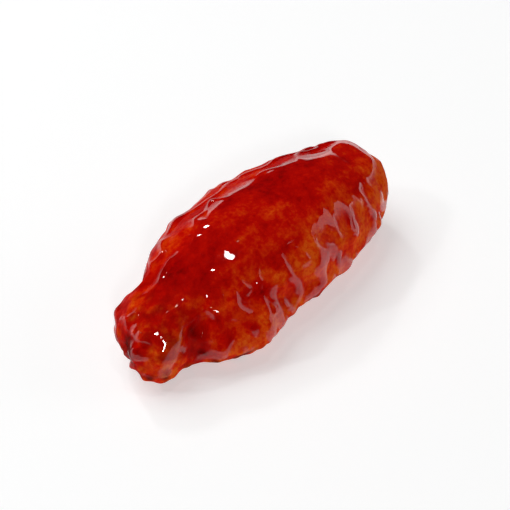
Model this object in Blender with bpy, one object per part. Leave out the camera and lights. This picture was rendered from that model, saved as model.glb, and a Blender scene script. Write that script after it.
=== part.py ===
"""A glazed chicken wing: the flat middle joint of the wing, lying skin side up.

The wing is one solid. Its flesh, knuckles, bones and skin edges are rounded lobes, and the surface is
where the smooth join of all those lobes ends. A ray leaves the wing's spine for every point of a sphere
and stops at that surface. Folds, bumps and crags of the skin then raise or lower the point.

Frame: +X runs from the knuckles to the rounded far end, +Y to the thick back edge, +Z up. The origin is
below the middle of the wing, on the surface that it lies on.
"""

import itertools
import math
from typing import NamedTuple

import bpy
import numpy as np

# Driving dimensions, in metres.
LENGTH = 0.088
WIDTH = 0.038
THICKNESS = 0.026
SIZE = np.array([LENGTH, WIDTH, THICKNESS])

# The mesh: points round the wing, and rings from end to end.
POINTS_AROUND = 72
RINGS = 74

# The spine that the rays leave from: half its length, and its height over the lowest lobe.
SPINE_HALF = 0.34 * LENGTH
SPINE_HEIGHT = 0.40 * THICKNESS
RAY_START = 0.40 * LENGTH
RAY_STEPS = 80
RAY_CAUTION = 0.8
SMALLEST = 1e-9

# The sauce that lies over the skin.
GLAZE = 0.0003
SLOPE_STEP = 0.00005

GLAZE_COLOUR = (0.36, 0.012, 0.002, 1.0)
GLAZE_ROUGHNESS = 0.15


class Lobe(NamedTuple):
    """One rounded form: its centre and half sizes as shares of SIZE, its turn about +Z, and its blend."""

    centre: tuple
    half: tuple
    turn: float = 0.0
    blend: float = 0.10


LOBES = {
    "belly": Lobe((-0.050, 0.010, 0.50), (0.300, 0.466, 0.485)),
    "far_meat": Lobe((0.215, -0.045, 0.475), (0.268, 0.430, 0.445), 2.0, 0.30),
    "neck": Lobe((-0.290, 0.012, 0.40), (0.150, 0.242, 0.370), 0.0, 0.20),
    "knuckle": Lobe((-0.385, 0.012, 0.36), (0.098, 0.240, 0.315), 12.0, 0.13),
    "inner_knuckle": Lobe((-0.386, 0.118, 0.36), (0.058, 0.112, 0.200), 24.0, 0.14),
    "outer_knuckle": Lobe((-0.438, -0.095, 0.31), (0.058, 0.135, 0.235), -8.0, 0.14),
    "bone_end": Lobe((-0.474, -0.045, 0.40), (0.031, 0.064, 0.095), 0.0, 0.035),
    "skin_edge": Lobe((0.105, -0.410, 0.330), (0.292, 0.062, 0.085), 4.0, 0.10),
    "shoulder": Lobe((-0.218, -0.308, 0.285), (0.132, 0.185, 0.255), -8.0, 0.12),
    "far_fold": Lobe((0.412, -0.040, 0.490), (0.070, 0.250, 0.310), -8.0, 0.10),
    "back_bone": Lobe((0.020, 0.215, 0.205), (0.395, 0.132, 0.212), -2.0, 0.12),
    "front_bone": Lobe((0.010, -0.170, 0.205), (0.375, 0.132, 0.212), 2.0, 0.12),
}
HOLLOWS = {
    "between_the_bones": Lobe((0.020, 0.022, -0.100), (0.285, 0.095, 0.190), 0.0, 0.10),
}


class Relief(NamedTuple):
    """A layer of uneven skin: its height, the size of its bumps along X, Y and Z, and its seed."""

    height: float
    bumps: tuple
    seed: int


SWELLS = Relief(0.00085, (0.0170, 0.0130, 0.0130), 3)
DIMPLES = Relief(0.00055, (0.0090, 0.0062, 0.0062), 5)
FOLDS = Relief(0.00050, (0.0180, 0.0052, 0.0052), 13)
CRAGS = Relief(0.00075, (0.0034, 0.0034, 0.0034), 7)
CRAGS_FROM = -0.26 * LENGTH
CRAGS_FULL = -0.42 * LENGTH
LATTICE = 32


def distance_to(lobe, points):
    """How far points lie outside a lobe, or inside it as a negative figure.

    The ellipsoid's own estimate is true close to its surface. It is too short past the tips of a slender
    lobe, where the distance to the box round the lobe is taken.
    """
    half = np.array(lobe.half) * SIZE
    turn = math.radians(lobe.turn)
    apart = points - np.array(lobe.centre) * SIZE
    along = apart[:, 0] * math.cos(turn) + apart[:, 1] * math.sin(turn)
    across = apart[:, 1] * math.cos(turn) - apart[:, 0] * math.sin(turn)
    turned = np.stack([along, across, apart[:, 2]], axis=1)
    reach = np.linalg.norm(turned / half, axis=1)
    steepness = np.maximum(np.linalg.norm(turned / half**2, axis=1), SMALLEST)
    past_box = np.linalg.norm(np.maximum(np.abs(turned) - half, 0.0), axis=1)
    return np.maximum(reach * (reach - 1.0) / steepness, past_box)


def smooth_join(first, second, blend):
    """The smaller of two distances, rounded off where they are closer to each other than blend."""
    share = np.clip(0.5 + 0.5 * (second - first) / blend, 0.0, 1.0)
    return second + (first - second) * share - blend * share * (1.0 - share)


def distance_to_wing(points):
    """How far points lie outside the smooth join of all the lobes, less the hollows."""
    joined = None
    for lobe in LOBES.values():
        outside = distance_to(lobe, points)
        joined = outside if joined is None else smooth_join(joined, outside, lobe.blend * WIDTH)
    for hollow in HOLLOWS.values():
        joined = -smooth_join(-joined, distance_to(hollow, points), hollow.blend * WIDTH)
    return joined


def outward(points):
    """The direction in which the distance to the wing grows fastest at each point."""
    steps = SLOPE_STEP * np.eye(3)
    slope = np.stack(
        [distance_to_wing(points + step) - distance_to_wing(points - step) for step in steps],
        axis=1,
    )
    return slope / np.linalg.norm(slope, axis=1, keepdims=True)


def uneven(points, relief):
    """Smooth noise of about -1 to 1: random slopes on a lattice, faded into each other."""
    draw = np.random.default_rng(relief.seed)
    slopes = draw.normal(size=(LATTICE, LATTICE, LATTICE, 3))
    slopes /= np.linalg.norm(slopes, axis=-1, keepdims=True)
    place = points / np.array(relief.bumps)
    cell = np.floor(place).astype(int)
    within = place - cell
    fade = within**3 * (within * (6.0 * within - 15.0) + 10.0)
    total = np.zeros(len(points))
    for corner in itertools.product((0, 1), repeat=3):
        at = (cell + corner) % LATTICE
        rise = ((within - corner) * slopes[at[:, 0], at[:, 1], at[:, 2]]).sum(axis=1)
        total += rise * np.where(corner, fade, 1.0 - fade).prod(axis=1)
    return 1.6 * total


def ease(low, high, values):
    """0 at low and 1 at high, with a gentle start and end."""
    share = np.clip((values - low) / (high - low), 0.0, 1.0)
    return share * share * (3.0 - 2.0 * share)


def skin_height(points):
    """How far folds, bumps and crags raise the skin, in metres."""
    ragged = ease(CRAGS_FROM, CRAGS_FULL, points[:, 0])
    return (
        SWELLS.height * uneven(points, SWELLS)
        + DIMPLES.height * uneven(points, DIMPLES)
        + FOLDS.height * (0.5 - np.abs(uneven(points, FOLDS)))
        + CRAGS.height * ragged * uneven(points, CRAGS)
    )


def wing_surface(directions):
    """The point of the wing's surface that each direction of a unit sphere leads to."""
    spine = np.column_stack([
        directions[:, 0] * SPINE_HALF,
        np.zeros(len(directions)),
        np.full(len(directions), SPINE_HEIGHT),
    ])
    reach = np.full(len(directions), RAY_START)
    for _ in range(RAY_STEPS):
        reach -= RAY_CAUTION * distance_to_wing(spine + directions * reach[:, None])
    points = spine + directions * reach[:, None]
    points += outward(points) * (skin_height(points) + GLAZE)[:, None]
    points[:, 2] = np.maximum(points[:, 2], 0.0)
    middle = (points.max(axis=0) + points.min(axis=0)) / 2.0
    return points - [middle[0], middle[1], 0.0]


def glaze_material():
    """The dark red sauce that covers the wing."""
    material = bpy.data.materials.new("glaze")
    material.use_nodes = True
    shader = material.node_tree.nodes["Principled BSDF"]
    shader.inputs["Base Color"].default_value = GLAZE_COLOUR
    shader.inputs["Roughness"].default_value = GLAZE_ROUGHNESS
    shader.inputs["Coat Weight"].default_value = 1.0
    material.diffuse_color = GLAZE_COLOUR
    return material


def make_wing():
    """A sphere with its poles at the wing's two ends, each point moved to the wing's surface."""
    bpy.ops.mesh.primitive_uv_sphere_add(segments=POINTS_AROUND, ring_count=RINGS, radius=1.0)
    wing = bpy.context.object
    wing.name = wing.data.name = "wing"
    sphere = np.empty(len(wing.data.vertices) * 3)
    wing.data.vertices.foreach_get("co", sphere)
    poles_on_x = np.roll(sphere.reshape(-1, 3), 1, axis=1)
    wing.data.vertices.foreach_set("co", wing_surface(poles_on_x).ravel())
    wing.data.update()
    wing.data.shade_smooth()
    wing.data.materials.append(glaze_material())
    return wing


def main():
    for old in list(bpy.data.objects):
        bpy.data.objects.remove(old, do_unlink=True)
    collection = bpy.data.collections.new("chicken_wing")
    bpy.context.scene.collection.children.link(collection)
    wing = make_wing()
    for holder in list(wing.users_collection):
        holder.objects.unlink(wing)
    collection.objects.link(wing)


main()
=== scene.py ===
"""A glazed chicken wing on a pale surface, in soft studio light.

The wing is the flat middle joint, skin side up. Its form is the smooth join of rounded lobes, as in the solid
that it stands for. Uneven skin lies on the form, and sauce lies on the skin: it levels itself over small
bumps, fills creases, thins out over edges, sets in veins along the back edge and runs down the sides. How
deep the sauce looks at each point, where the skin is charred or bare, where shade is painted dark under the
wing, and where the skin is dry, is kept with the mesh, and the finish takes its colour and gloss from that.

Frame: +X runs from the knuckles to the rounded far end, +Y to the thick back edge, +Z up. The origin is below
the middle of the wing, on the surface that it lies on. Lengths are in metres.
"""

import itertools
import logging
import math
from dataclasses import dataclass, field
from enum import Enum
from typing import Any, Mapping

import bpy
import numpy as np
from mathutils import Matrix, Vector


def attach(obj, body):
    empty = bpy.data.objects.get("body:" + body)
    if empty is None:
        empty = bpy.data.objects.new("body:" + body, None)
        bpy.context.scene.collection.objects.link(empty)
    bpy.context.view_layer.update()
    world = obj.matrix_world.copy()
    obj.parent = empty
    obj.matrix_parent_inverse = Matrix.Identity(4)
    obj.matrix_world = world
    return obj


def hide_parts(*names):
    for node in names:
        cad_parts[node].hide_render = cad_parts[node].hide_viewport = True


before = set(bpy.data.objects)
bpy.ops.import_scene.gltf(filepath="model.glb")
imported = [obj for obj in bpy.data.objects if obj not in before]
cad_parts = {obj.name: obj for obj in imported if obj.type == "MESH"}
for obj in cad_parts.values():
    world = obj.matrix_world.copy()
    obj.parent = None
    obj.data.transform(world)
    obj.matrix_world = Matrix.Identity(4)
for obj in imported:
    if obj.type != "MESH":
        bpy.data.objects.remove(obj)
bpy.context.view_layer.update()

MM = 0.001
SMALLEST = 1e-9
LOG = logging.getLogger("chicken_wing")


class Layer(Enum):
    """A number kept at every point of the wing's mesh, read by its finish."""

    SAUCE = "sauce"
    # Charred skin at the knuckles, and painted shade under the wing in the same dark colour.
    CHAR = "char"
    BARE = "bare"
    DRY = "dry"


@dataclass(frozen=True)
class Ramp:
    """A gentle step: 0 at its start and 1 where it is full. The start may be above the full value."""

    start: float
    full: float

    def at(self, values: np.ndarray) -> np.ndarray:
        """The step at each value: share * share * (3 - 2 * share), share being the way up from the start.

        Args:
            values: What is looked up.

        Returns:
            A number from 0 to 1 for each value.
        """
        share = np.clip((values - self.start) / (self.full - self.start), 0.0, 1.0)
        return share * share * (3.0 - 2.0 * share)


def smooth_least(first: np.ndarray, second: np.ndarray, blend: float) -> np.ndarray:
    """The smaller of two fields, rounded off where they differ by less than blend.

    Args:
        first: One field.
        second: The other field.
        blend: How close the two are where the rounding starts.

    Returns:
        second + (first - second) * share, less blend * share * (1 - share).
    """
    share = np.clip(0.5 + 0.5 * (second - first) / blend, 0.0, 1.0)
    return second + (first - second) * share - blend * share * (1.0 - share)


@dataclass(frozen=True)
class Relief:
    """A layer of smooth noise: its height, the size of its bumps along X, Y and Z, and its seed.

    Warp is how far other noise, with seeds and a bump size of its own, moves the bumps about.
    """

    height: float
    bumps: tuple[float, float, float]
    seed: int
    warp: float = 0.0
    warp_size: float = 6.0 * MM
    warp_seeds: int = 100
    lattice: int = 32
    gain: float = 1.6

    def uneven(self, points: np.ndarray) -> np.ndarray:
        """Noise of about -1 to 1: random slopes at lattice corners, faded into each other by a quintic.

        Args:
            points: Places, one row each.

        Returns:
            The noise at each place.
        """
        draw = np.random.default_rng(self.seed)
        slopes = draw.normal(size=(self.lattice, self.lattice, self.lattice, 3))
        slopes /= np.linalg.norm(slopes, axis=-1, keepdims=True)
        place = points / np.array(self.bumps)
        cell = np.floor(place).astype(int)
        within = place - cell
        fade = within**3 * (within * (6.0 * within - 15.0) + 10.0)
        total = np.zeros(len(points))
        for corner in itertools.product((0, 1), repeat=3):
            at = (cell + corner) % self.lattice
            rise = ((within - corner) * slopes[at[:, 0], at[:, 1], at[:, 2]]).sum(axis=1)
            total += rise * np.where(corner, fade, 1.0 - fade).prod(axis=1)
        return self.gain * total

    def warped(self, points: np.ndarray) -> np.ndarray:
        """Points moved by three more layers of noise, so that the bumps wander: points + warp * noise.

        Args:
            points: Places, one row each.

        Returns:
            The places that the noise is then looked up at.
        """
        if not self.warp:
            return points
        first = self.seed + self.warp_seeds
        sides = [
            Relief(1.0, (self.warp_size,) * 3, seed).uneven(points) for seed in range(first, first + 3)
        ]
        return points + self.warp * np.stack(sides, axis=1)

    def swell(self, points: np.ndarray) -> np.ndarray:
        """Rounded highs and lows: the noise times the height."""
        return self.height * self.uneven(self.warped(points))

    def fold(self, points: np.ndarray) -> np.ndarray:
        """Sharp-topped ridges where the noise crosses 0: height * (0.5 - |noise|)."""
        return self.height * (0.5 - np.abs(self.uneven(self.warped(points))))

    def vein(self, points: np.ndarray, width: float) -> np.ndarray:
        """Narrow rounded ridges where the noise crosses 0: height * exp(-(noise / width)^2)."""
        return self.height * np.exp(-((self.uneven(self.warped(points)) / width) ** 2))


@dataclass(frozen=True)
class Lobe:
    """One rounded form: its centre and half sizes as shares of the wing, its turn about +Z, its blend."""

    centre: tuple[float, float, float]
    half: tuple[float, float, float]
    turn: float = 0.0
    blend: float = 0.10

    def distance(self, points: np.ndarray, size: np.ndarray) -> np.ndarray:
        """How far points lie outside the ellipsoid: k * (k - 1) / |gradient of k|, k its scaled radius.

        Past the tips of a slender lobe that is too short, and the distance to its box is taken.

        Args:
            points: Places, one row each.
            size: The wing's length, width and thickness.

        Returns:
            Distances, negative inside, true close to the ellipsoid.
        """
        half = np.array(self.half) * size
        turn = math.radians(self.turn)
        apart = points - np.array(self.centre) * size
        along = apart[:, 0] * math.cos(turn) + apart[:, 1] * math.sin(turn)
        across = apart[:, 1] * math.cos(turn) - apart[:, 0] * math.sin(turn)
        turned = np.stack([along, across, apart[:, 2]], axis=1)
        reach = np.linalg.norm(turned / half, axis=1)
        steepness = np.maximum(np.linalg.norm(turned / half**2, axis=1), SMALLEST)
        past_box = np.linalg.norm(np.maximum(np.abs(turned) - half, 0.0), axis=1)
        return np.maximum(reach * (reach - 1.0) / steepness, past_box)


@dataclass(frozen=True)
class WingForm:
    """The bare form of the wing, the same as that of its solid."""

    length: float = 88.0 * MM
    width: float = 38.0 * MM
    thickness: float = 26.0 * MM
    spine_half: float = 0.34
    spine_height: float = 0.40
    ray_start: float = 0.40
    ray_steps: int = 60
    ray_caution: float = 0.8
    slope_step: float = 0.05 * MM
    lobes: Mapping[str, Lobe] = field(default_factory=lambda: {
        "belly": Lobe((-0.050, 0.010, 0.50), (0.300, 0.466, 0.485)),
        "far_meat": Lobe((0.215, -0.045, 0.475), (0.268, 0.430, 0.445), 2.0, 0.30),
        "neck": Lobe((-0.290, 0.012, 0.40), (0.150, 0.242, 0.370), 0.0, 0.20),
        "knuckle": Lobe((-0.385, 0.012, 0.36), (0.098, 0.240, 0.315), 12.0, 0.13),
        "inner_knuckle": Lobe((-0.386, 0.118, 0.36), (0.058, 0.112, 0.200), 24.0, 0.14),
        "outer_knuckle": Lobe((-0.438, -0.095, 0.31), (0.058, 0.135, 0.235), -8.0, 0.14),
        "bone_end": Lobe((-0.474, -0.045, 0.40), (0.031, 0.064, 0.095), 0.0, 0.035),
        "skin_edge": Lobe((0.105, -0.410, 0.330), (0.292, 0.062, 0.085), 4.0, 0.10),
        "shoulder": Lobe((-0.218, -0.308, 0.285), (0.132, 0.185, 0.255), -8.0, 0.12),
        "far_fold": Lobe((0.412, -0.040, 0.490), (0.070, 0.250, 0.310), -8.0, 0.10),
        "back_bone": Lobe((0.020, 0.215, 0.205), (0.395, 0.132, 0.212), -2.0, 0.12),
        "front_bone": Lobe((0.010, -0.170, 0.205), (0.375, 0.132, 0.212), 2.0, 0.12),
    })
    hollows: Mapping[str, Lobe] = field(default_factory=lambda: {
        "between_the_bones": Lobe((0.020, 0.022, -0.100), (0.285, 0.095, 0.190), 0.0, 0.10),
    })

    @property
    def size(self) -> np.ndarray:
        """Length, width and thickness."""
        return np.array([self.length, self.width, self.thickness])

    def distance(self, points: np.ndarray) -> np.ndarray:
        """How far points lie outside the smooth join of the lobes, less the hollows.

        Args:
            points: Places, one row each.

        Returns:
            Distances, negative inside.
        """
        joined = None
        for lobe in self.lobes.values():
            outside = lobe.distance(points, self.size)
            joined = outside if joined is None else smooth_least(joined, outside, lobe.blend * self.width)
        for hollow in self.hollows.values():
            joined = -smooth_least(-joined, hollow.distance(points, self.size), hollow.blend * self.width)
        return joined

    def outward(self, points: np.ndarray) -> np.ndarray:
        """The direction in which the distance grows fastest: its central differences, made one long.

        Args:
            points: Places, one row each.

        Returns:
            One direction of length 1 for each place.
        """
        steps = self.slope_step * np.eye(3)
        slope = np.stack(
            [self.distance(points + step) - self.distance(points - step) for step in steps],
            axis=1,
        )
        return slope / np.linalg.norm(slope, axis=1, keepdims=True)

    def reach(self, directions: np.ndarray) -> np.ndarray:
        """Where rays from the wing's spine meet the form, found by stepping in by the distance left.

        Args:
            directions: Directions from the spine. X also says where on the spine a ray starts.

        Returns:
            One point on the form for each direction.
        """
        spine = np.column_stack([
            directions[:, 0] * self.spine_half * self.length,
            np.zeros(len(directions)),
            np.full(len(directions), self.spine_height * self.thickness),
        ])
        reach = np.full(len(directions), self.ray_start * self.length)
        for _ in range(self.ray_steps):
            reach -= self.ray_caution * self.distance(spine + directions * reach[:, None])
        return spine + directions * reach[:, None]


@dataclass(frozen=True)
class RayGrid:
    """A sphere of rays: rings from the knuckle end to the far end, with a pole at each end."""

    rings: int = 300
    around: int = 318
    crowding: float = 0.20
    blur_rounds: int = 3

    def directions(self) -> np.ndarray:
        """Rays at angle pi * t + crowding * sin(2 * pi * t) from -X, which evens out their feet.

        Returns:
            Directions, ring after ring. The first and the last ring are the poles, repeated.
        """
        share = np.linspace(0.0, 1.0, self.rings)
        angle = math.pi * share + self.crowding * np.sin(2.0 * math.pi * share)
        turn = np.arange(self.around) * (2.0 * math.pi / self.around)
        angle, turn = np.meshgrid(angle, turn, indexing="ij")
        rays = np.stack([-np.cos(angle), np.sin(angle) * np.cos(turn), np.sin(angle) * np.sin(turn)], axis=-1)
        return rays.reshape(-1, 3)

    def blur(self, values: np.ndarray, cells: int) -> np.ndarray:
        """A soft average over neighbours: rounds of running means along the wing, then round it.

        Args:
            values: One number, or one row, for each ray.
            cells: How many rings and rays the running mean reaches to each side.

        Returns:
            The averages, shaped like values.
        """
        grid = values.reshape(self.rings, self.around, -1)
        width = 2 * cells + 1
        for axis, _ in itertools.product((0, 1), range(self.blur_rounds)):
            pad = [(0, 0), (0, 0), (0, 0)]
            pad[axis] = (cells + 1, cells)
            padded = np.pad(grid, pad, mode="wrap" if axis else "edge")
            sums = np.cumsum(padded, axis=axis)
            upper = np.take(sums, np.arange(width, sums.shape[axis]), axis=axis)
            lower = np.take(sums, np.arange(sums.shape[axis] - width), axis=axis)
            grid = (upper - lower) / width
        return grid.reshape(values.shape)

    def mesh(self, name: str, points: np.ndarray, layers: Mapping[Layer, np.ndarray]) -> bpy.types.Mesh:
        """One closed mesh: quads between the rings, and a fan of triangles at each pole.

        Args:
            name: The mesh's name.
            points: One point for each ray. Those of a pole ring are all the same.
            layers: Numbers to keep at the points, one for each ray.

        Returns:
            The mesh, with its faces pointing out.
        """
        inner = slice(self.around - 1, -(self.around - 1))
        count = self.rings * self.around - 2 * (self.around - 1)
        index = np.arange(1, count - 1).reshape(self.rings - 2, self.around)
        after = np.roll(index, -1, axis=1)
        quads = np.stack([index[:-1], after[:-1], after[1:], index[1:]], axis=-1).reshape(-1, 4)
        near = np.stack([np.zeros(self.around, int), after[0], index[0]], axis=-1)
        far = np.stack([np.full(self.around, count - 1), index[-1], after[-1]], axis=-1)
        mesh = bpy.data.meshes.new(name)
        mesh.from_pydata(points[inner].tolist(), [], quads.tolist() + near.tolist() + far.tolist())
        mesh.update()
        mesh.shade_smooth()
        for layer, values in layers.items():
            kept = mesh.attributes.new(layer.value, "FLOAT", "POINT")
            kept.data.foreach_set("value", values[inner].astype(np.float32))
        return mesh


@dataclass(frozen=True)
class Skin:
    """Browned skin: the swells, dimples, folds and crags of the solid, and finer forms on top of them."""

    form: WingForm
    swells: Relief = Relief(0.85 * MM, (17.0 * MM, 13.0 * MM, 13.0 * MM), 3)
    dimples: Relief = Relief(0.55 * MM, (9.0 * MM, 6.2 * MM, 6.2 * MM), 5)
    folds: Relief = Relief(0.50 * MM, (18.0 * MM, 5.2 * MM, 5.2 * MM), 13)
    crags: Relief = Relief(0.75 * MM, (3.4 * MM, 3.4 * MM, 3.4 * MM), 7)
    crags_from: float = -0.26
    crags_full: float = -0.42
    shreds: Relief = Relief(0.70 * MM, (2.2 * MM, 2.2 * MM, 2.6 * MM), 23)
    pores: Relief = Relief(0.10 * MM, (1.3 * MM, 1.3 * MM, 1.3 * MM), 11)
    wrinkles: Relief = Relief(1.10 * MM, (5.5 * MM, 7.5 * MM, 7.5 * MM), 61, 2.5 * MM)
    far_fold_centre: tuple[float, float] = (27.5 * MM, -6.0 * MM)
    far_fold_radius: float = 13.0 * MM
    far_fold_wave: Relief = Relief(1.1 * MM, (7.0 * MM, 7.0 * MM, 7.0 * MM), 41)
    far_fold_lip: float = 0.50 * MM
    far_fold_half: float = 0.42 * MM
    far_fold_drop: float = 0.45 * MM
    far_fold_step: Ramp = Ramp(-0.5 * MM, 1.5 * MM)
    far_fold_step_turn: Ramp = Ramp(75.0, 20.0)
    far_fold_back_turn: Ramp = Ramp(112.0, 80.0)
    far_fold_front_turn: Ramp = Ramp(-112.0, -75.0)
    far_fold_upwards: Ramp = Ramp(-0.35, 0.1)
    low: Ramp = Ramp(11.0 * MM, 6.0 * MM)
    overhang: Ramp = Ramp(0.10, -0.35)
    off_the_top: Ramp = Ramp(0.92, 0.55)
    off_the_underside: Ramp = Ramp(-0.5, -0.1)
    pores_on_body: float = 0.6
    pores_more_at_knuckles: float = 1.4
    shreds_at_knuckles: float = 0.7
    shreds_at_overhang: float = 1.6

    def solid_height(self, points: np.ndarray) -> np.ndarray:
        """How far the layers that the solid also has raise the skin.

        Args:
            points: Places on the form.

        Returns:
            Height for each place.
        """
        ragged = self.ragged(points)
        return (
            self.swells.swell(points)
            + self.dimples.swell(points)
            + self.folds.fold(points)
            + ragged * self.crags.swell(points)
        )

    def ragged(self, points: np.ndarray) -> np.ndarray:
        """0 on the smooth body, 1 at the knuckles."""
        length = self.form.length
        return Ramp(self.crags_from * length, self.crags_full * length).at(points[:, 0])

    def far_fold(self, points: np.ndarray, outward: np.ndarray) -> np.ndarray:
        """The fold at the far end: a lip along a circle seen from above, and a drop outside it.

        Height is lip * exp(-(d / half)^2) - drop * step(d), where d is the distance outside the circle,
        moved about by noise. Both fade out towards the knuckles and on the underside.

        Args:
            points: Places on the form.
            outward: The form's outward directions there.

        Returns:
            Height for each place.
        """
        apart = points[:, :2] - np.array(self.far_fold_centre)
        outside = np.linalg.norm(apart, axis=1) - self.far_fold_radius + self.far_fold_wave.swell(points)
        turn = np.degrees(np.arctan2(apart[:, 1], apart[:, 0]))
        shown = (
            self.far_fold_back_turn.at(turn)
            * self.far_fold_front_turn.at(turn)
            * self.far_fold_upwards.at(outward[:, 2])
        )
        lip = self.far_fold_lip * np.exp(-((outside / self.far_fold_half) ** 2))
        drop = self.far_fold_drop * self.far_fold_step.at(outside) * self.far_fold_step_turn.at(turn)
        return shown * (lip - drop)

    def fine_height(self, points: np.ndarray, outward: np.ndarray) -> np.ndarray:
        """How far the forms that only show close up raise the skin.

        Args:
            points: Places on the form.
            outward: The form's outward directions there.

        Returns:
            Height for each place.
        """
        ragged = self.ragged(points)
        low = self.low.at(points[:, 2]) * self.overhang.at(outward[:, 2])
        side = self.off_the_top.at(outward[:, 2]) * self.off_the_underside.at(outward[:, 2])
        shredded = np.maximum(self.shreds_at_knuckles * ragged, self.shreds_at_overhang * low)
        return (
            self.pores.swell(points) * (self.pores_on_body + self.pores_more_at_knuckles * ragged)
            + self.shreds.swell(points) * shredded
            + self.wrinkles.swell(points) * side
        )


@dataclass(frozen=True)
class Sauce:
    """A thick glaze over the skin, and how it settles before it sets."""

    film: float = 0.30 * MM
    least: float = 0.05 * MM
    blend: float = 0.25 * MM
    levels_over: int = 5
    smooths_over: int = 1
    ripples: Relief = Relief(0.50 * MM, (4.0 * MM, 6.5 * MM, 6.5 * MM), 17, 2.5 * MM)
    waves: Relief = Relief(0.22 * MM, (6.5 * MM, 4.5 * MM, 4.5 * MM), 19, 1.5 * MM)
    veins: Relief = Relief(0.34 * MM, (13.0 * MM, 6.0 * MM, 6.0 * MM), 31, 2.0 * MM)
    vein_width: float = 0.10
    flow: Relief = Relief(1.0, (26.0 * MM, 15.0 * MM, 15.0 * MM), 29)
    patches: Relief = Relief(1.0, (8.0 * MM, 6.0 * MM, 6.0 * MM), 37)
    runs: Relief = Relief(0.28 * MM, (2.7 * MM, 5.5 * MM, 6.5 * MM), 43, 2.0 * MM)
    between_runs: Ramp = Ramp(0.10, -0.02)
    runs_off: Ramp = Ramp(0.86, 0.68)
    backwards: Ramp = Ramp(0.0, 0.3)
    wetter_backwards: float = 0.2
    underside: Ramp = Ramp(0.0, -0.4)
    rim_back: Ramp = Ramp(0.0, 4.0 * MM)
    rim_outer: Ramp = Ramp(0.56, 0.64)
    rim_inner: Ramp = Ramp(0.97, 0.91)
    rim_at_knuckles: float = 0.5
    ripples_off_top: Ramp = Ramp(0.86, 0.35)
    ripples_off_underside: Ramp = Ramp(-0.45, 0.0)
    film_lost: float = 0.7
    edge_reach: int = 14
    edge_full: float = 1.1 * MM
    edge_usual: float = 0.35
    edge_range: tuple[float, float] = (-1.0, 0.6)
    deepest: float = 0.9 * MM
    film_usual: float = 0.4
    depth_usual: float = 0.66
    depth_least: float = 0.13
    depth_by_back: float = 0.20
    depth_by_flow: float = 0.14
    depth_by_patches: float = 0.18
    depth_by_edge: float = 0.24
    depth_by_film: float = 0.40

    def dry(self, points: np.ndarray, outward: np.ndarray) -> np.ndarray:
        """Where the sauce has run off: between the runs down the sides, beside veins, and on the underside.

        Args:
            points: Places on the form.
            outward: The form's outward directions there.

        Returns:
            0 where the sauce lies thick, 1 where the skin is nearly dry.
        """
        steep = self.runs_off.at(outward[:, 2] + self.wetter_backwards * self.backwards.at(outward[:, 1]))
        between = self.between_runs.at(self.runs.uneven(self.runs.warped(points)))
        under = self.underside.at(outward[:, 2])
        vein = self.veins.vein(points, self.vein_width) / self.veins.height
        beside_veins = self.rim(points, outward) * (1.0 - vein)
        return np.maximum(np.maximum(steep * between, under), beside_veins)

    def rim(self, points: np.ndarray, outward: np.ndarray) -> np.ndarray:
        """The back edge of the top, where the sauce sets in veins. It reaches lower towards the knuckles.

        Args:
            points: Places on the form.
            outward: The form's outward directions there.

        Returns:
            1 along the edge, 0 elsewhere.
        """
        upright = outward[:, 2] - self.rim_at_knuckles * np.minimum(outward[:, 0], 0.0)
        return self.rim_back.at(points[:, 1]) * self.rim_outer.at(upright) * self.rim_inner.at(outward[:, 2])

    def settle(
        self,
        grid: RayGrid,
        skin: np.ndarray,
        folds: np.ndarray,
        dry: np.ndarray,
        ragged: np.ndarray,
        points: np.ndarray,
        outward: np.ndarray,
    ) -> np.ndarray:
        """The height of the sauce's surface: the higher of the skin and the sauce's own level.

        The level is the skin's soft average plus the film, which is thin where the skin is dry or ragged.
        Waves come on top, ripples where the form is steep, veins along the back edge, and the folds that
        the sauce doesn't level. Dry places lie lower.

        Args:
            grid: The rays that the points belong to.
            skin: The skin's height for each ray.
            folds: The height of sharp folds for each ray.
            dry: How dry the skin is at each ray.
            ragged: How ragged the skin is at each ray.
            points: Places on the form.
            outward: The form's outward directions there.

        Returns:
            Height for each ray.
        """
        steep = self.ripples_off_top.at(outward[:, 2]) * self.ripples_off_underside.at(outward[:, 2])
        film = self.film * (1.0 - self.film_lost * np.maximum(dry, ragged))
        level = grid.blur(skin, self.levels_over) + film
        surface = -smooth_least(-(skin + self.least), -level, self.blend)
        surface += steep * self.ripples.swell(points) + self.waves.swell(points)
        surface += self.rim(points, outward) * self.veins.vein(points, self.vein_width) + folds
        surface -= dry * self.runs.height
        return grid.blur(surface, self.smooths_over)

    def depth(self, grid: RayGrid, film: np.ndarray, points: np.ndarray, outward: np.ndarray) -> np.ndarray:
        """How deep the sauce looks, from 0 to 1: a weighted sum of its film, its flow and its patches.

        It is deeper towards the back, and less deep at edges. An edge is where a point stands out of the
        soft average of the points round it.

        Args:
            grid: The rays that the points belong to.
            film: How far the sauce's surface lies above the skin.
            points: Places on the sauce's surface.
            outward: The form's outward directions there.

        Returns:
            Depth for each ray.
        """
        stands_out = ((points - grid.blur(points, self.edge_reach)) * outward).sum(axis=1)
        edge = np.clip(stands_out / self.edge_full - self.edge_usual, *self.edge_range)
        depth = (
            self.depth_usual
            + self.depth_by_back * outward[:, 1]
            + self.depth_by_flow * self.flow.uneven(points)
            + self.depth_by_patches * self.patches.uneven(points)
            - self.depth_by_edge * edge
            + self.depth_by_film * (film / self.deepest - self.film_usual)
        )
        return np.clip(depth, self.depth_least, 1.0)


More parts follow.
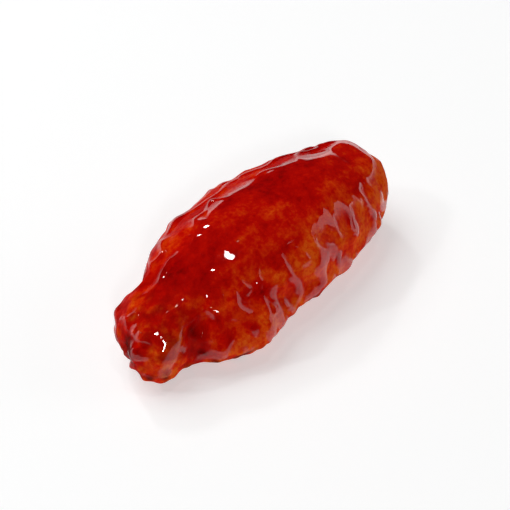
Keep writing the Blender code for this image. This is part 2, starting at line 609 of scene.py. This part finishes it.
@dataclass(frozen=True)
class Browning:
    """Where the skin is charred, where shade is painted dark under the wing, where it shows bare, and the
    dark stain round the bone's end.
    """

    crags: Relief = Relief(1.0, (2.6 * MM, 2.6 * MM, 2.6 * MM), 51)
    # Painted shade: low skin and skin that faces down get the charred colour in patches, by the share below.
    low: Ramp = Ramp(6.0 * MM, 1.0 * MM)
    overhang: Ramp = Ramp(-0.02, -0.40)
    shade_underneath: float = 0.75
    char_at_knuckles: float = 0.32
    char_usual: float = 0.45
    char_by_crags: float = 1.1
    # Painted shade: an even share of the charred colour in a band at the bottom, where the wing meets the
    # floor.
    bottom: Ramp = Ramp(2.5 * MM, 0.3 * MM)
    shade_at_bottom: float = 0.8
    far_end: Ramp = Ramp(0.36, 0.43)
    front: Ramp = Ramp(2.0 * MM, -6.0 * MM)
    steep: Ramp = Ramp(0.35, 0.0)
    bare_usual: float = 0.5
    bare_by_crags: float = 0.6
    bare_most: float = 0.7
    stain_depth: float = 0.8
    stain_reach: float = 3.3 * MM

    def char(self, points: np.ndarray, outward: np.ndarray, ragged: np.ndarray) -> np.ndarray:
        """Charred skin in patches by the crags at the knuckles, and painted shade: such patches underneath,
        and an even share at the bottom.

        Args:
            points: Places on the sauce's surface.
            outward: The form's outward directions there.
            ragged: How ragged the skin is there.

        Returns:
            The charred share of each place.
        """
        under = np.maximum(self.low.at(points[:, 2]), self.overhang.at(outward[:, 2]))
        # Painted shade on the underside, and charred skin at the knuckles.
        place = self.shade_underneath * under + self.char_at_knuckles * ragged
        char = np.clip(place * (self.char_usual + self.char_by_crags * self.crags.uneven(points)), 0.0, 1.0)
        # Painted shade: the even dark band at the bottom.
        return np.maximum(char, self.shade_at_bottom * self.bottom.at(points[:, 2]))

    def bare(self, points: np.ndarray, outward: np.ndarray, length: float) -> np.ndarray:
        """Bare skin: patches by the crags, low on the front of the far end.

        Args:
            points: Places on the sauce's surface.
            outward: The form's outward directions there.
            length: The wing's length.

        Returns:
            The bare share of each place.
        """
        far_side = self.far_end.at(points[:, 0] / length) * self.front.at(points[:, 1])
        patchy = self.bare_usual + self.bare_by_crags * self.crags.uneven(points)
        return np.clip(far_side * self.steep.at(outward[:, 2]) * patchy, 0.0, self.bare_most)

    def stain(self, points: np.ndarray, bone: np.ndarray) -> np.ndarray:
        """How much deeper the sauce looks round the bone's end: stain_depth * exp(-(d / stain_reach)^2).

        Args:
            points: Places on the sauce's surface.
            bone: The middle of the bone's end, which d is the distance to.

        Returns:
            Added depth for each place.
        """
        return self.stain_depth * np.exp(-((np.linalg.norm(points - bone, axis=1) / self.stain_reach) ** 2))


class Value:
    """A number that changes over a surface: one output of a shader node, with Python's operators."""

    def __init__(self, graph: "Graph", socket: bpy.types.NodeSocket) -> None:
        """Keeps the graph that new nodes go into, and the output."""
        self.graph = graph
        self.socket = socket

    def _with(self, operation: str, first: "Value | float", second: "Value | float") -> "Value":
        """Adds one Math node and returns its result."""
        return self.graph.value("ShaderNodeMath", {"operation": operation}, {0: first, 1: second})

    def __add__(self, other: "Value | float") -> "Value":
        """self + other."""
        return self._with("ADD", self, other)

    def __radd__(self, other: float) -> "Value":
        """other + self."""
        return self._with("ADD", other, self)

    def __sub__(self, other: "Value | float") -> "Value":
        """self - other."""
        return self._with("SUBTRACT", self, other)

    def __rsub__(self, other: float) -> "Value":
        """other - self."""
        return self._with("SUBTRACT", other, self)

    def __mul__(self, other: "Value | float") -> "Value":
        """self * other."""
        return self._with("MULTIPLY", self, other)

    def __rmul__(self, other: float) -> "Value":
        """other * self."""
        return self._with("MULTIPLY", other, self)


class Graph:
    """The nodes of one material or world."""

    def __init__(self, tree: bpy.types.NodeTree) -> None:
        """Starts from an empty tree."""
        self.tree = tree
        tree.nodes.clear()

    def add(self, kind: str, settings: Mapping[str, Any], inputs: Mapping[Any, Any]) -> bpy.types.Node:
        """Adds one node.

        Args:
            kind: The node's type.
            settings: Its properties. "stops" are a ramp's places and colours.
            inputs: Socket name or number to a Value, an output to link, or a constant.

        Returns:
            The node.
        """
        node = self.tree.nodes.new(kind)
        for name, setting in settings.items():
            if name == "stops":
                self._stops(node.color_ramp, setting)
            else:
                setattr(node, name, setting)
        for name, given in inputs.items():
            if isinstance(given, Value):
                self.tree.links.new(given.socket, node.inputs[name])
            elif isinstance(given, bpy.types.NodeSocket):
                self.tree.links.new(given, node.inputs[name])
            else:
                node.inputs[name].default_value = given
        return node

    def value(
        self,
        kind: str,
        settings: Mapping[str, Any],
        inputs: Mapping[Any, Any],
        output: Any = 0,
    ) -> Value:
        """Adds one node and wraps one of its outputs."""
        return Value(self, self.add(kind, settings, inputs).outputs[output])

    @staticmethod
    def _stops(ramp: bpy.types.ColorRamp, stops: list[tuple[float, tuple]]) -> None:
        """Gives a ramp its stops, from the first to the last."""
        while len(ramp.elements) < len(stops):
            ramp.elements.new(1.0)
        for element, (place, colour) in zip(ramp.elements, stops):
            element.position = place
            element.color = (*colour, 1.0)


@dataclass(frozen=True)
class Speckle:
    """Fine shader noise: the size of its spots, its finer octaves, and how strong those are."""

    size: float
    octaves: float
    roughness: float

    def noise(self, graph: Graph, place: bpy.types.NodeSocket) -> Value:
        """Adds one Noise Texture.

        Args:
            graph: The material's nodes.
            place: Where on the piece it is looked up.

        Returns:
            The noise, most of it from 0.3 to 0.7.
        """
        return graph.value(
            "ShaderNodeTexNoise",
            {"noise_dimensions": "3D"},
            {
                "Vector": place,
                "Scale": 1.0 / self.size,
                "Detail": self.octaves,
                "Roughness": self.roughness,
            },
        )


@dataclass(frozen=True)
class GlazeFinish:
    """Red barbecue glaze: orange where it is thin, red, then maroon where it is deep.

    The fields that end in _less, _more and _by say how much a layer or noise changes the value named first.
    """

    stops: tuple[tuple[float, tuple[float, float, float]], ...] = (
        (0.00, (0.800, 0.100, 0.006)),
        (0.20, (0.720, 0.034, 0.0015)),
        (0.42, (0.600, 0.0045, 0.0008)),
        (0.72, (0.420, 0.0008, 0.0006)),
        (1.00, (0.170, 0.0008, 0.0006)),
    )
    # The colour of charred skin, also laid on as painted shade under the wing.
    char: tuple[float, float, float] = (0.060, 0.0045, 0.002)
    bare: tuple[float, float, float] = (0.200, 0.070, 0.022)
    roughness: float = 0.35
    specular_level: float = 0.0
    coat_roughness: float = 0.025
    coat_ior: float = 1.5
    subsurface: float = 0.08
    subsurface_radius: tuple[float, float, float] = (1.0, 0.22, 0.08)
    subsurface_scale: float = 1.6 * MM
    noise_middle: float = 0.5
    mottle: Speckle = Speckle(2.4 * MM, 4.0, 0.55)
    granules: Speckle = Speckle(0.9 * MM, 3.0, 0.6)
    grain: Speckle = Speckle(0.55 * MM, 2.0, 0.6)
    grain_height: float = 0.09 * MM
    grain_strength: float = 0.7
    depth_by_mottle: float = 0.85
    depth_by_granules: float = 0.85
    granules_sauce_less: float = 0.75
    depth_dry_less: float = 0.03
    coat_bare_less: float = 0.55
    coat_char_and_shade_less: float = 0.35
    coat_dry_less: float = 0.95
    roughness_bare_more: float = 0.22
    roughness_char_and_shade_more: float = 0.15
    mix_under: int = 6
    mix_over: int = 7
    mix_result: int = 2

    def material(self) -> bpy.types.Material:
        """The material: colour by the sauce's depth, mottled, with charred skin, painted shade under the wing
        and bare skin mixed in.

        Returns:
            The material.
        """
        material = bpy.data.materials.new("glaze")
        material.use_nodes = True
        graph = Graph(material.node_tree)
        place = graph.add("ShaderNodeTexCoord", {}, {}).outputs["Object"]
        sauce, char, bare, dry = (
            graph.value("ShaderNodeAttribute", {"attribute_name": layer.value}, {}, "Fac") for layer in Layer
        )
        mottle = self.mottle.noise(graph, place) - self.noise_middle
        granules = self.granules.noise(graph, place) - self.noise_middle
        thin = self.depth_by_granules - sauce * self.granules_sauce_less
        depth = sauce + mottle * self.depth_by_mottle + granules * thin - dry * self.depth_dry_less
        sauced = graph.add("ShaderNodeValToRGB", {"stops": list(self.stops)}, {"Fac": depth})
        bared = self._mix(graph, bare, sauced.outputs["Color"], self.bare)
        # Mixes in the charred colour, which also paints shade under the wing.
        charred_and_shaded = self._mix(graph, char, bared, self.char)
        bump = graph.add(
            "ShaderNodeBump",
            {},
            {
                "Height": self.grain.noise(graph, place),
                "Distance": self.grain_height,
                "Strength": self.grain_strength,
            },
        )
        covered = 1.0 - bare * self.coat_bare_less - char * self.coat_char_and_shade_less
        coat = covered * (1.0 - dry * self.coat_dry_less)
        rough = bare * self.roughness_bare_more + char * self.roughness_char_and_shade_more + self.roughness
        shader = graph.add(
            "ShaderNodeBsdfPrincipled",
            {"subsurface_method": "RANDOM_WALK"},
            {
                "Base Color": charred_and_shaded,
                "Roughness": rough,
                "Specular IOR Level": self.specular_level,
                "Coat Weight": coat,
                "Coat Roughness": self.coat_roughness,
                "Coat IOR": self.coat_ior,
                "Subsurface Weight": self.subsurface,
                "Subsurface Radius": self.subsurface_radius,
                "Subsurface Scale": self.subsurface_scale,
                "Normal": bump.outputs["Normal"],
            },
        )
        graph.add("ShaderNodeOutputMaterial", {}, {"Surface": shader.outputs["BSDF"]})
        return material

    def _mix(
        self,
        graph: Graph,
        share: Value,
        under: bpy.types.NodeSocket,
        over: tuple[float, float, float],
    ) -> bpy.types.NodeSocket:
        """Mixes a plain colour over another.

        Args:
            graph: The material's nodes.
            share: How much of the plain colour shows.
            under: The colour under it.
            over: The plain colour.

        Returns:
            The mixed colour's output.
        """
        mixed = graph.add(
            "ShaderNodeMix",
            {"data_type": "RGBA"},
            {"Factor": share, self.mix_under: under, self.mix_over: (*over, 1.0)},
        )
        return mixed.outputs[self.mix_result]


@dataclass
class Wing:
    """The glazed wing: one closed mesh of skin and sauce."""

    grid: RayGrid = field(default_factory=RayGrid)
    form: WingForm = field(default_factory=WingForm)
    sauce: Sauce = field(default_factory=Sauce)
    browning: Browning = field(default_factory=Browning)
    finish: GlazeFinish = field(default_factory=GlazeFinish)

    def surface(self) -> tuple[np.ndarray, dict[Layer, np.ndarray]]:
        """The sauce's surface, at the height that the skin and the sauce reach on the form.

        Returns:
            One point for each ray, and the layers that go with the points.
        """
        skin = Skin(self.form)
        bare_form = self.form.reach(self.grid.directions())
        outward = self.form.outward(bare_form)
        height = skin.solid_height(bare_form) + skin.fine_height(bare_form, outward)
        folds = skin.far_fold(bare_form, outward)
        dry = self.sauce.dry(bare_form, outward)
        ragged = skin.ragged(bare_form)
        top = self.sauce.settle(self.grid, height, folds, dry, ragged, bare_form, outward)
        points = bare_form + outward * top[:, None]
        points[:, 2] = np.maximum(points[:, 2], 0.0)
        depth = self.sauce.depth(self.grid, top - height, points, outward)
        bone = np.array(self.form.lobes["bone_end"].centre) * self.form.size
        layers = {
            Layer.SAUCE: depth + self.browning.stain(points, bone),
            # Charred skin, and painted shade under the wing.
            Layer.CHAR: self.browning.char(points, outward, ragged),
            Layer.BARE: self.browning.bare(points, outward, self.form.length),
            Layer.DRY: dry,
        }
        middle = (points.max(axis=0) + points.min(axis=0)) / 2.0
        points -= [middle[0], middle[1], 0.0]
        return points, layers

    def build(self) -> bpy.types.Object:
        """Makes the wing, dresses it and lets it stand for its solid.

        Returns:
            The wing's object.
        """
        points, layers = self.surface()
        mesh = self.grid.mesh("glazed_wing", points, layers)
        mesh.materials.append(self.finish.material())
        wing = bpy.data.objects.new("glazed_wing", mesh)
        bpy.context.scene.collection.objects.link(wing)
        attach(wing, "root")
        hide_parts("wing")
        return wing


@dataclass(frozen=True)
class Softbox:
    """A square lamp: its direction, distance, side, how bright its face is, and whether gloss mirrors it."""

    name: str
    towards: tuple[float, float, float]
    distance: float
    side: float
    radiance: float
    mirrored: bool = True

    def build(self) -> bpy.types.Object:
        """Hangs the lamp, facing the wing. Its power is radiance * pi * area.

        Returns:
            The lamp's object.
        """
        lamp = bpy.data.lights.new(self.name, "AREA")
        lamp.shape = "SQUARE"
        lamp.size = self.side
        lamp.energy = self.radiance * math.pi * self.side**2
        hung = bpy.data.objects.new(self.name, lamp)
        direction = Vector(self.towards).normalized()
        hung.location = direction * self.distance
        hung.rotation_euler = direction.to_track_quat("Z", "Y").to_euler()
        hung.visible_glossy = self.mirrored
        bpy.context.scene.collection.objects.link(hung)
        return hung


@dataclass(frozen=True)
class Studio:
    """A pale floor that glows a little, a bright low backdrop under a dark ceiling, and lamps."""

    floor_side: float = 6.0
    floor_colour: tuple[float, float, float] = (0.74, 0.745, 0.745)
    floor_roughness: float = 0.8
    floor_specular: float = 0.1
    floor_glow: float = 0.45
    white: tuple[float, float, float] = (1.0, 1.0, 1.0)
    backdrop: float = 2.2
    backdrop_top: float = 0.09
    backdrop_sides: tuple[float, float] = (-0.1, 0.35)
    ceiling_from: float = 0.15
    ceiling: float = 0.012
    front: float = 0.10
    back_direction: tuple[float, float, float] = (0.77, 0.64, 0.0)
    lamps: tuple[Softbox, ...] = (
        Softbox("key_softbox", (-0.10, 0.48, 0.87), 1.5, 1.20, 2.6, mirrored=False),
        Softbox("back_lamp", (0.25, 0.67, 0.70), 1.6, 0.14, 45.0),
        Softbox("top_lamp", (0.09, -0.12, 0.99), 1.6, 0.09, 45.0),
        Softbox("left_lamp", (-0.56, 0.48, 0.69), 1.6, 0.14, 45.0),
        Softbox("right_softbox", (0.62, -0.62, 0.36), 1.2, 0.60, 1.2),
        Softbox("front_lamp", (-0.55, -0.60, 0.55), 1.6, 0.16, 45.0),
    )

    def build_floor(self) -> bpy.types.Object:
        """Lays the floor that the wing lies on.

        Returns:
            The floor's object.
        """
        half = self.floor_side / 2.0
        corners = [(-half, -half, 0.0), (half, -half, 0.0), (half, half, 0.0), (-half, half, 0.0)]
        mesh = bpy.data.meshes.new("floor")
        mesh.from_pydata(corners, [], [(0, 1, 2, 3)])
        material = bpy.data.materials.new("pale_floor")
        material.use_nodes = True
        graph = Graph(material.node_tree)
        shader = graph.add(
            "ShaderNodeBsdfPrincipled",
            {},
            {
                "Base Color": (*self.floor_colour, 1.0),
                "Roughness": self.floor_roughness,
                "Specular IOR Level": self.floor_specular,
                "Emission Color": (*self.white, 1.0),
                "Emission Strength": self.floor_glow,
            },
        )
        graph.add("ShaderNodeOutputMaterial", {}, {"Surface": shader.outputs["BSDF"]})
        mesh.materials.append(material)
        floor = bpy.data.objects.new("floor", mesh)
        bpy.context.scene.collection.objects.link(floor)
        return floor

    def build_surroundings(self) -> bpy.types.World:
        """Lights the room: dark above, bright at a low height behind the wing, dim in front of it.

        Returns:
            The world.
        """
        world = bpy.data.worlds.new("studio")
        bpy.context.scene.world = world
        world.use_nodes = True
        graph = Graph(world.node_tree)
        direction = graph.add("ShaderNodeTexCoord", {}, {}).outputs["Generated"]
        height = graph.value("ShaderNodeSeparateXYZ", {}, {"Vector": direction}, "Z")
        backwards = graph.value(
            "ShaderNodeVectorMath",
            {"operation": "DOT_PRODUCT"},
            {0: direction, 1: self.back_direction},
            "Value",
        )
        low = self._fade(graph, height, self.ceiling_from, self.backdrop_top)
        behind = self._fade(graph, backwards, *self.backdrop_sides)
        walls = behind * (self.backdrop - self.front) + (self.front - self.ceiling)
        sky = graph.add("ShaderNodeBackground", {}, {"Strength": low * walls + self.ceiling})
        graph.add("ShaderNodeOutputWorld", {}, {"Surface": sky.outputs["Background"]})
        return world

    @staticmethod
    def _fade(graph: Graph, given: Value, low: float, high: float) -> Value:
        """Adds a gentle step.

        Args:
            graph: The world's nodes.
            given: What is looked up.
            low: Where the step is 0. It may be above high.
            high: Where the step is 1.

        Returns:
            The step at the given value.
        """
        return graph.value(
            "ShaderNodeMapRange",
            {"interpolation_type": "SMOOTHSTEP"},
            {"Value": given, "From Min": low, "From Max": high},
        )


@dataclass(frozen=True)
class Viewpoint:
    """The camera: where it looks from, as angles round the wing, and how far away it is."""

    azimuth: float = -50.0
    elevation: float = 42.0
    distance: float = 0.345
    lens: float = 100.0
    nearest: float = 10.0 * MM
    target: tuple[float, float, float] = (0.0, 0.0, 11.0 * MM)

    def build(self) -> bpy.types.Object:
        """Sets up the camera.

        Returns:
            The camera's object.
        """
        camera = bpy.data.cameras.new("camera")
        camera.lens = self.lens
        camera.clip_start = self.nearest
        turn = math.radians(self.azimuth)
        rise = math.radians(self.elevation)
        away = Vector((
            math.sin(turn) * math.cos(rise),
            -math.cos(turn) * math.cos(rise),
            math.sin(rise),
        ))
        held = bpy.data.objects.new("camera", camera)
        held.location = Vector(self.target) + away * self.distance
        held.rotation_euler = away.to_track_quat("Z", "Y").to_euler()
        bpy.context.scene.collection.objects.link(held)
        bpy.context.scene.camera = held
        return held


def main() -> None:
    """Builds the camera, the wing and the studio, in that order."""
    logging.basicConfig(level=logging.INFO, format="%(message)s")
    view = bpy.context.scene.view_settings
    view.view_transform = "Standard"
    Viewpoint().build()
    LOG.info("camera set")
    wing = Wing().build()
    LOG.info("%s: %d faces", wing.name, len(wing.data.polygons))
    studio = Studio()
    studio.build_surroundings()
    studio.build_floor()
    LOG.info("floor and surroundings")
    for softbox in studio.lamps:
        lamp = softbox.build()
        LOG.info("%s: %.1f W", lamp.name, lamp.data.energy)


if __name__ == "__main__":
    main()
